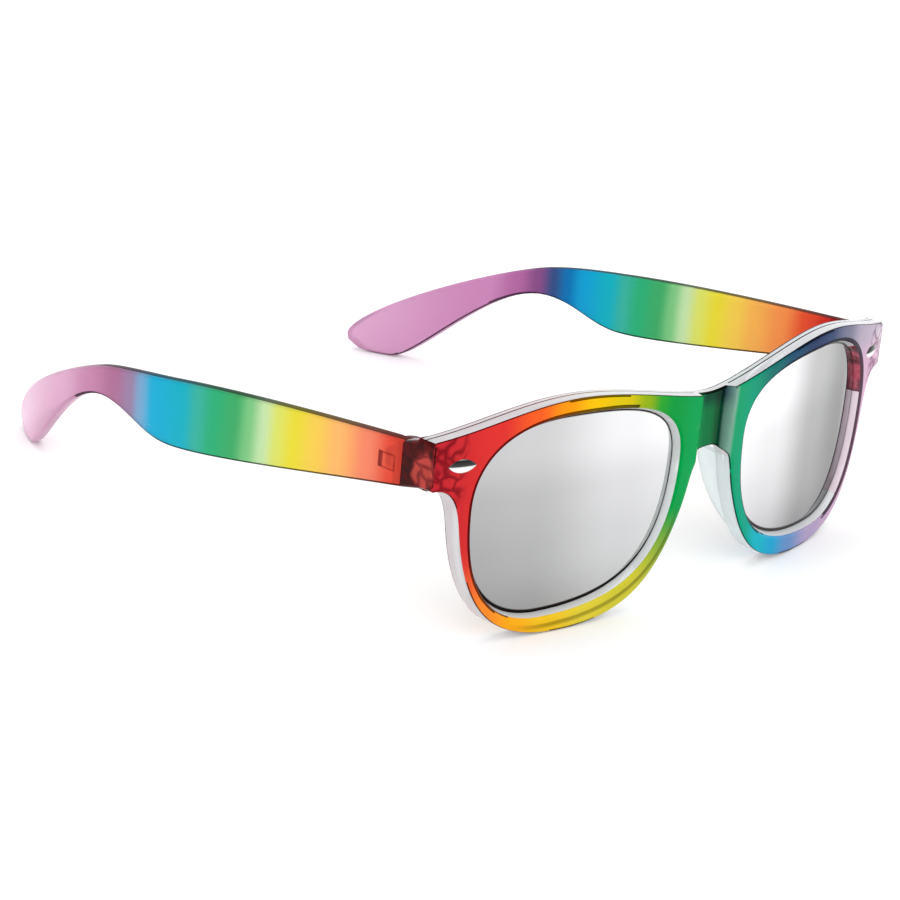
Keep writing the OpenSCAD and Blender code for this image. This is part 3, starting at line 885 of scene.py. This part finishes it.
def section_ring(top, bottom, sizes, y=None):
    """A rounded section of a temple between a point on its top edge and one on its bottom edge."""
    edge, steps = sizes.edge / MM, 6
    up = (top - bottom).normalized()
    spots = []
    for corner in range(4):
        high, outer = corner < 2, corner in (0, 3)
        for k in range(steps):
            a = math.radians(corner * 90 + 90 * k / (steps - 1))
            yz = (top if high else bottom) + up * edge * ((-1 if high else 1) + math.sin(a))
            thick = (sizes.thickness + (sizes.tip - sizes.thickness) * max(0.0, yz.x) / TEMPLE_L) / MM
            x = temple_x(yz.x) - (edge if outer else thick - edge) + edge * math.cos(a)
            spots.append(place(x, JOINT_Y + yz.x if y is None else y, yz.y))
    return spots


# Pieces


def front_coat(face, sizes, to_opening):
    """Which plastic a face of the front shows, by its place, its depth and the way it looks."""
    x, y, z = face.center.x / MM, face.center.y / MM - FACE_Y, face.center.z / MM
    n, out_x = face.normal, abs(x)
    thick, seat = sizes.thickness / MM, sizes.lens_depth / MM
    depth = FRONT_R - math.hypot(FRONT_R - y, x)
    facing = n.dot(Vector((x, y - FRONT_R, 0)).normalized())
    to_lens = Vector((math.copysign(LENS_MIDDLE[0], x) - x, LENS_MIDDLE[1] - z)).normalized()
    inward = n.x * to_lens.x + n.z * to_lens.y > 0
    upright = abs(facing) < 0.2
    lacquer = "end_lacquer" if out_x > END_FROM else "front_lacquer"
    # The recess of the bridge, its upper and lower edges painted dark as shade
    if out_x < SADDLE_HALF + 0.1 and y < RECESS_BACK:
        if facing <= 0.12:
            return "clear_plastic"
        return "front_edge" if abs(n.z) > 0.3 else "front_lacquer"
    # The sides of the end pieces
    if out_x > END_FROM and (depth > thick + 0.1 or (out_x > SIDE_X - 1.2 and abs(n.x) > 0.6)):
        return "end_side"
    # The face, its lips with their painted shade line, and its outer edge painted dark as shade
    if depth < 0.5 and facing > 0.2:
        if facing < 0.97 and inward or to_opening(out_x, z) < LIP + lip_shade_line(x, z):
            above = to_lens.y < -0.4 and not GAP_FROM < x < GAP_TO
            line = to_lens.x > 0.45 + 0.3 * facing or above or x > DARK_FROM
            return "front_edge" if line else "front_lacquer"
        flank = not inward and abs(n.z) < 0.15 + 0.25 * facing
        return lacquer if facing > 0.97 or flank else "front_edge"
    # The back
    if facing < -0.9 and depth > thick - 0.1:
        return lacquer
    # The bevels in front of the lenses
    if inward and facing > 0.05 and depth < seat + 0.1:
        if out_x > BEVEL_END_X:
            return "bevel_end" if z > BEVEL_END_Z else "wall_shade"
        return "matt_bevel"
    # The soft edge at the back painted dark, and the painted shade line and shade on the outer wall
    if not inward:
        if -0.75 < facing < 0.2 and depth > thick - 0.49 and (out_x > NOSE_OUT or z > BRIDGE_LOW + 3):
            return "front_edge"
        marked = upright and WALL_SHADE_DEPTHS[0] < depth and (depth < WALL_SHADE_DEPTHS[1] + 0.05 or abs(n.x) > 0.6)
        if marked and (not NOSE_IN < out_x < NOSE_OUT or n.z > 0.5):
            return "front_edge" if n.z > 0.5 else "wall_shade"
    on_nose = NOSE_IN < out_x < NOSE_OUT and upright and z < BRIDGE_LOW
    return "pad_plastic" if on_nose else "clear_plastic"


def end_parts(sizes):
    """The left end piece's wall, its solid block, and the two hinge lugs with their knuckles."""
    wall_x = SIDE_X - sizes.thickness / MM
    start, back = face_y(wall_x, 0) + 1.2, JOINT_Y - 3.6
    top, low = Vector((0, END_HIGH)), Vector((0, END_LOW))
    root = Vector((0, ROOT_HIGH)), Vector((0, ROOT_LOW))
    wall = ring_piece("end_wall", [
        section_ring(top, low, sizes, y=start),
        section_ring(top, low, sizes, y=start + 2.6),
        section_ring(*root, sizes, y=JOINT_Y),
    ])
    inset = 0.9
    corner = (SIDE_X - 1.8, back, END_HIGH - inset)
    body = block("end_block", (SIDE_X - 8.0, start, END_LOW + inset), corner)
    apply_modifier(body, "BEVEL", width=0.6 * MM, segments=2, limit_method="ANGLE",
                   angle_limit=math.radians(40), use_clamp_overlap=True)
    parts = [wall, body]
    inner = MIDDLE_HALF + KNUCKLE_GAP
    outer = inner + OUTER_KNUCKLE
    for low, high in ((HINGE_Z - outer, HINGE_Z - inner), (HINGE_Z + inner, HINGE_Z + outer)):
        lug = block("lug", (HINGE_X - 1.88, back - 1, low), (HINGE_X + 0.5, HINGE_Y, high))
        foot = block("lug_foot", (HINGE_X - 1.86, back - 1, low + 0.01),
                     (wall_x + 1, JOINT_Y - JOINT_GAP, high - 0.01))
        parts.append(bored_knuckle("knuckle", low - 0.005, high + 0.005, (lug, foot)))
    return parts


class MakeFront(bpy.types.Operator):
    """Models the front: both rims, the recessed bridge and the end pieces with their hinge lugs."""

    bl_idname = "sunglasses.make_front"
    bl_label = "Front"

    def execute(self, context):
        sizes = context.scene.sunglasses_front
        half = ring_piece("front_moulding", front_rings(sizes), closed=True)
        delete_faces(half, lambda face: all(abs(v.co.x) < 1e-6 for v in face.verts))
        apply_modifier(half, "MIRROR", use_clip=True, merge_threshold=DOUBLES)
        saddle(half, sizes)
        for side in (1, -1):
            for part in end_parts(context.scene.sunglasses_temple):
                if side < 0:
                    turn_over(part)
                join_solid(half, part)
        split_at(half, [END_FROM, -END_FROM])
        to_opening = distance_to([p for p, _ in eye_points(60)])
        mark_points(half, lambda x, z: to_opening(abs(x), z) * MM)
        names = ("clear_plastic", "front_lacquer", "end_lacquer", "front_edge", "matt_bevel", "end_side",
                 "pad_plastic", "bevel_end", "wall_shade")
        paint(half, [plastics()[name] for name in names], lambda face: front_coat(face, sizes, to_opening))
        smooth(half, 30)
        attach(half, "front")
        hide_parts("front_frame")
        return {"FINISHED"}


class MakePads(bpy.types.Operator):
    """Models the two nose pads that stand back from the rims' nose side."""

    bl_idname = "sunglasses.make_pads"
    bl_label = "Nose pads"

    def execute(self, context):
        parts = outline_parts()
        inside, arch = parts[NOSE_PART][0], parts[ARCH_PART][0]
        splay = math.radians(14)
        out = Vector((math.sin(splay), math.cos(splay)))
        flank = Vector((math.cos(splay), -math.sin(splay)))
        width, crown, steps = 1.8, 0.45, 36
        # The pad's upper share lies on the bridge's arch, and it stands out least at its foot.
        from_arch, least, more = 0.35, 3.2, 7.4
        rings = []
        for k in range(steps + 1):
            u = k / steps
            if u < from_arch:
                p = curve_at(arch, 0.42 * (1 - u / from_arch))
            else:
                p = curve_at(inside, 1 - 0.38 * (u - from_arch) / (1 - from_arch))
            reach = least + more * math.cos(math.radians(90 * u**1.2))
            base = Vector((p.x + 0.15, face_y(p.x, 0) + 1.0))
            end = base + reach * out
            section = [base, base.lerp(end, 0.5), end]
            for j in range(1, 6):
                a = math.pi * j / 6
                section.append(end + flank * width * (0.5 - 0.5 * math.cos(a)) + out * crown * math.sin(a))
            foot = base + flank * (width + 0.3)
            section += [end + flank * width, (end + flank * width).lerp(foot, 0.5), foot]
            rings.append([place(q.x, q.y, p.y) for q in section])
        pad = ring_piece("nose_pad_left", rings)
        for piece in (pad, mirror_copy(pad, "nose_pad_right")):
            paint(piece, [plastics()["pad_plastic"]])
            smooth(piece, 50)
            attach(piece, "front")
            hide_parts("front_frame")
        return {"FINISHED"}


def temple_coat(face, side):
    """Which plastic a face of a temple shows: its edges are painted dark as shade and its inner side is
    clear.
    """
    out = 1 if side == "left" else -1
    n = Vector((face.normal.x * out, face.normal.y, face.normal.z))
    y = face.center.y / MM - FACE_Y - JOINT_Y
    lacquer, edge = f"temple_lacquer_{side}", f"temple_edge_{side}"
    if abs(n.z) > 0.35 and abs(n.x) > 0.35 and (n.y**2 < 0.2 or y > 60):
        dark = face.normal.x * n.z > 0 and (y < 100 or side == "left")
        return edge if dark else lacquer
    if n.x > 0.35 and face.center.x * out / MM > temple_x(y) - 1.1:
        return lacquer
    if n.z > 0.6 or (y < 7 and (abs(n.y) > 0.7 or n.z < -0.7)):
        return edge
    return lacquer if y > 60 or n.z < -0.6 or (n.x < -0.5 and abs(n.z) < 0.4) else "clear_plastic"


class MakeTemples(bpy.types.Operator):
    """Models the two temples, with the middle knuckle and its boss on the inner side."""

    bl_idname = "sunglasses.make_temples"
    bl_label = "Temples"

    def execute(self, context):
        sizes = context.scene.sunglasses_temple
        steps, last = 22, len(TOP_EDGE) - 1
        places = [(k, i / steps) for k in range(last + 1) for i in range(steps)] + [(last, 1.0)]
        edges = [(curve_at(TOP_EDGE[k], t), curve_at(BOTTOM_EDGE[k], t)) for k, t in places]
        rings = [section_ring(top, bottom, sizes) for top, bottom in edges]
        for spot in rings[0]:
            spot.y = place(0, JOINT_Y + JOINT_GAP, 0).y
        temple = ring_piece("temple_moulding_left", rings)
        relief = round_bar("relief", RELIEF_R, ROOT_LOW - 1, ROOT_HIGH + 1, steps=48)
        join_solid(temple, relief, "DIFFERENCE")
        low, high = HINGE_Z - MIDDLE_HALF, HINGE_Z + MIDDLE_HALF
        wall_x = SIDE_X - sizes.thickness / MM
        corner = (wall_x + 0.6, JOINT_Y + 6, high - 0.01)
        boss = block("boss", (HINGE_X - 0.95, HINGE_Y, low + 0.01), corner)
        join_solid(temple, bored_knuckle("middle_knuckle", low, high, (boss,)))
        twin = mirror_copy(temple, "temple_moulding_right")
        for piece, body in ((temple, "temple_left"), (twin, "temple_right")):
            side = body.split("_")[1]
            names = ("clear_plastic", f"temple_lacquer_{side}", f"temple_edge_{side}")
            paint(piece, [plastics()[name] for name in names], lambda face: temple_coat(face, side))
            smooth(piece, 35)
            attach(piece, body)
            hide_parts(body)
        return {"FINISHED"}


def smoke_material():
    """The smoke grey plastic that shows on a lens's back, deeper towards its top."""
    material, tree, shader = new_material("smoke_lens_back", {})
    height, _ = along(tree, "Z", LENS_LOW, LENS_HIGH)
    shade = ramp(tree, height, [(0.0, 0.10, 0.10, 0.11), (1.0, 0.035, 0.035, 0.04)])
    feed(tree, shader, {"Base Color": shade})
    add_handling(tree, shader, 40, 0.06, 0.03, bump=0.0)
    return material


def mirror_material(look):
    """Silver mirror coating painted with a reflection: darker outwards and at its foot, with a painted shade
    line along the rim.
    """
    material, tree, shader = new_material("mirror_coating", {"Metallic": 1.0})
    height, split = along(tree, "Z", LENS_LOW, LENS_HIGH)
    across = spread(tree, split.outputs["X"], -LENS_OUT * MM, LENS_OUT * MM)
    reflection_rise = ((0.0, 0.66), (0.3, 0.75), (0.58, 0.82), (0.85, 1.0))
    turn = ((0.0, 0.58), (0.12, 0.63), (0.3, 0.90), (0.42, 1.0), (0.6, 1.16), (0.7, 1.05), (0.83, 0.52),
            (0.94, 0.28), (0.965, 0.45), (1.0, 0.75))
    reflection_height = ramp(tree, height, [(at, k, k, k) for at, k in reflection_rise])
    reflection_across = ramp(tree, across, [(at, *(c * k for c in look.mirror)) for at, k in turn])
    away = add_node(tree, "Attribute", attribute_name="edge_distance").outputs["Fac"]
    # A painted shade line along the rim, where the lens meets the lip.
    dark, light, reach = (0.03, 0.02, 0.018), (1, 1, 1), 3.0
    stops = [(0.22, *light), (0.25, *dark), (0.45, *dark), (0.55, *light)]
    line = ramp(tree, spread(tree, away, 0.0, reach), stops)
    shade = mixed(tree, 1.0, mixed(tree, 1.0, reflection_height, reflection_across, "MULTIPLY"), line, "MULTIPLY")
    feed(tree, shader, {"Base Color": shade})
    add_handling(tree, shader, 40, 0.03, 0.025, bump=0.0)
    return material


class MakeLenses(bpy.types.Operator):
    """Models the two curved mirror lenses, seated in the rims."""

    bl_idname = "sunglasses.make_lenses"
    bl_label = "Mirror lenses"

    def execute(self, context):
        rim = eye_points(40)
        middle = Vector((36.7, 24.6))
        seat, thick, crown, inset = 2.0, 1.5, 0.25, -2.2
        size = max((p - middle).length for p, _ in rim)

        def ring(share, offset, depth):
            spots = []
            for p, out in rim:
                q = middle.lerp(p + offset * out, share)
                bulge = crown * (1 - min(1.0, (q - middle).length / size) ** 2)
                spots.append(place(q.x, face_y(q.x, depth) - bulge, q.y))
            return spots

        spans = [(share, inset) for share in (0.04, 0.15, 0.3, 0.45, 0.6, 0.72, 0.82, 0.9, 0.96, 1.0)]
        spans += [(1.0, offset) for offset in (-1.8, -1.5, -1.3, -1.1, -0.9, -0.6, 0.1)]
        rings = [ring(*span, seat) for span in spans]
        rings += [ring(1.0, 0.35, depth) for depth in (seat + 0.15, seat + thick - 0.15)]
        rings += [ring(*span, seat + thick) for span in reversed(spans)]
        lens = ring_piece("mirror_lens_left", rings)
        to_rim = distance_to([p for p, _ in rim])
        # The painted shade line that reads this distance is thinner above the lens's foot.
        mark_points(lens, lambda x, z: to_rim(x, z) * min(1.35, max(1, 1 + 0.03 * (z - 6))))
        coats = [mirror_material(context.scene.sunglasses_look), smoke_material()]
        twin = mirror_copy(lens, "mirror_lens_right")
        for piece, replaced in ((lens, "lens_left"), (twin, "lens_right")):
            paint(piece, coats, lambda face: "smoke_lens_back" if face.normal.y > 0.5 else "mirror_coating")
            smooth(piece, 40)
            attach(piece, "front")
            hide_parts(replaced)
        return {"FINISHED"}


class MakeTrims(bpy.types.Operator):
    """Models the two eye-shaped silver trims on the end pieces."""

    bl_idname = "sunglasses.make_trims"
    bl_label = "Trims"

    def execute(self, context):
        arc = (TRIM_HALF_W**2 + TRIM_HALF_H**2) / (2 * TRIM_HALF_H)
        reach, steps = math.asin(TRIM_HALF_W / arc), 24
        at_x = SIDE_X - TRIM_IN
        turn = math.asin(at_x / FRONT_R)

        def ring(share, out):
            spots = []
            for side in (1, -1):
                for i in range(steps):
                    a = reach * (1 - 2 * i / steps) * side
                    x, z = arc * math.sin(a) * share, side * (arc * math.cos(a) - arc + TRIM_HALF_H) * share
                    ux = x * math.cos(turn) + out * math.sin(turn)
                    uy = x * math.sin(turn) - out * math.cos(turn)
                    spots.append(place(at_x + ux, face_y(at_x, 0) + uy, TRIM_Z + z))
            return spots

        crown = ((0.03, 0.4), (0.3, 0.385), (0.6, 0.31), (0.8, 0.2), (0.9, 0.11), (0.955, 0.04),
                 (0.985, -0.03), (0.985, -0.45))
        trim = ring_piece("silver_trim_left", [ring(share, out) for share, out in crown])
        material, tree, shader = new_material("silver_trim", {"Metallic": 1.0})
        height, _ = along(tree, "Z", TRIM_Z - TRIM_HALF_H, TRIM_Z + TRIM_HALF_H)
        # Painted reflection: bright below the trim's middle and nearly black above it.
        reflection_greys = ((0.0, 0.5), (0.12, 0.95), (0.44, 0.8), (0.56, 0.05), (0.9, 0.02), (1.0, 0.5))
        feed(tree, shader, {"Base Color": ramp(tree, height, [(at, k, k, k) for at, k in reflection_greys])})
        add_handling(tree, shader, 260, 0.08, 0.08, bump=0.03)
        twin = mirror_copy(trim, "silver_trim_right")
        for piece, replaced in ((trim, "trim_left"), (twin, "trim_right")):
            paint(piece, [material])
            smooth(piece, 50)
            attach(piece, "front")
            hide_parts(replaced)
        return {"FINISHED"}


class FinishScrews(bpy.types.Operator):
    """Gives the hinge screws their turned steel finish."""

    bl_idname = "sunglasses.finish_screws"
    bl_label = "Hinge screws"

    def execute(self, context):
        steel = {"Metallic": 1.0, "Base Color": (0.5, 0.51, 0.53, 1), "Anisotropic": 0.4}
        material, tree, shader = new_material("turned_steel", steel)
        add_handling(tree, shader, 900, 0.22, 0.15, bump=0.08)
        for name in ("hinge_screw_left", "hinge_screw_right"):
            paint(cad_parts[name], [material])
        return {"FINISHED"}


def add_light(name, spot, size, watts):
    """A square lamp that looks at the sunglasses."""
    data = bpy.data.lights.new(name, "AREA")
    data.shape = "SQUARE"
    data.size = size
    data.energy = watts
    lamp = bpy.data.objects.new(name, data)
    bpy.context.collection.objects.link(lamp)
    lamp.location = spot
    lamp.rotation_euler = (Vector((0, 0, 0.02)) - Vector(spot)).to_track_quat("-Z", "Y").to_euler()


def add_surround(scene):
    """White all round, with a grey band overhead that draws the bright edges' dark lines."""
    world = bpy.data.worlds.new("studio")
    scene.world = world
    world.use_nodes = True
    tree = world.node_tree
    around = add_node(tree, "TexCoord").outputs["Generated"]
    height = add_node(tree, "SeparateXYZ", {0: around}).outputs["Z"]
    band = [(0.0, 1.0, 1.0, 1.0), (0.5, 1.0, 1.0, 1.0), (0.6, 0.9, 0.9, 0.9), (0.72, 0.25, 0.25, 0.27),
            (0.85, 0.9, 0.9, 0.9), (1.0, 1.0, 1.0, 1.0)]
    feed(tree, tree.nodes["Background"], {"Color": ramp(tree, height, band), "Strength": 1.3})


def add_camera(scene):
    """The camera that took the photograph, fitted to both rims and both temples."""
    data = bpy.data.cameras.new("camera")
    data.sensor_width = 36
    data.lens = FOCAL_LENGTH
    data.clip_start, data.clip_end = 0.05, 20
    scene.camera = bpy.data.objects.new("camera", data)
    bpy.context.collection.objects.link(scene.camera)
    turn = Matrix((CAMERA_RIGHT, CAMERA_UP, CAMERA_BACK)).transposed().to_4x4()
    scene.camera.matrix_world = Matrix.Translation(CAMERA_PLACE) @ turn


class MakeStage(bpy.types.Operator):
    """Sets up the pale floor, the soft studio light and the camera."""

    bl_idname = "sunglasses.make_stage"
    bl_label = "Stage"

    def execute(self, context):
        scene = context.scene
        bpy.ops.object.select_all(action="DESELECT")
        bpy.ops.mesh.primitive_plane_add(size=8, location=(0, 0, 0))
        floor = bpy.context.object
        floor.name = "floor"
        colour = (*scene.sunglasses_look.floor, 1)
        card = {"Roughness": 0.7, "Specular IOR Level": 0.1, "Base Color": colour}
        floor.data.materials.append(new_material("floor_card", card)[0])
        for panel in PANELS:
            add_light(*panel)
        add_surround(scene)
        add_camera(scene)
        scene.view_settings.view_transform = "Standard"
        return {"FINISHED"}


class SunglassesPanel(bpy.types.Panel):
    """Lists the sizes, the finishes and the steps."""

    bl_idname = "VIEW3D_PT_sunglasses"
    bl_label = "Sunglasses"
    bl_space_type = "VIEW_3D"
    bl_region_type = "UI"
    bl_category = "Sunglasses"

    def draw(self, context):
        column = self.layout.column()
        scene = context.scene
        for settings, names in (
            (scene.sunglasses_front, ("thickness", "edge", "bevel", "lens_depth", "saddle_depth")),
            (scene.sunglasses_temple, ("thickness", "tip", "edge")),
            (scene.sunglasses_look, ("clear_tint", "clear_transmission", "lacquer_transmission",
                                     "temple_transmission", "mirror", "floor")),
        ):
            for name in names:
                column.prop(settings, name)
        for step in STEPS:
            column.operator(step.bl_idname)


STEPS = (MakeFront, MakePads, MakeTemples, MakeLenses, MakeTrims, FinishScrews, MakeStage)
SETTINGS = (FrontSizes, TempleSizes, SunglassesLook)


def register():
    for item in (*SETTINGS, *STEPS, SunglassesPanel):
        bpy.utils.register_class(item)
    bpy.types.Scene.sunglasses_front = bpy.props.PointerProperty(type=FrontSizes)
    bpy.types.Scene.sunglasses_temple = bpy.props.PointerProperty(type=TempleSizes)
    bpy.types.Scene.sunglasses_look = bpy.props.PointerProperty(type=SunglassesLook)


def unregister():
    del bpy.types.Scene.sunglasses_look
    del bpy.types.Scene.sunglasses_temple
    del bpy.types.Scene.sunglasses_front
    for item in reversed((*SETTINGS, *STEPS, SunglassesPanel)):
        bpy.utils.unregister_class(item)


def main():
    register()
    bpy.ops.sunglasses.make_front()
    bpy.ops.sunglasses.make_pads()
    bpy.ops.sunglasses.make_temples()
    bpy.ops.sunglasses.make_lenses()
    bpy.ops.sunglasses.make_trims()
    bpy.ops.sunglasses.finish_screws()
    bpy.ops.sunglasses.make_stage()


if __name__ == "__main__":
    main()
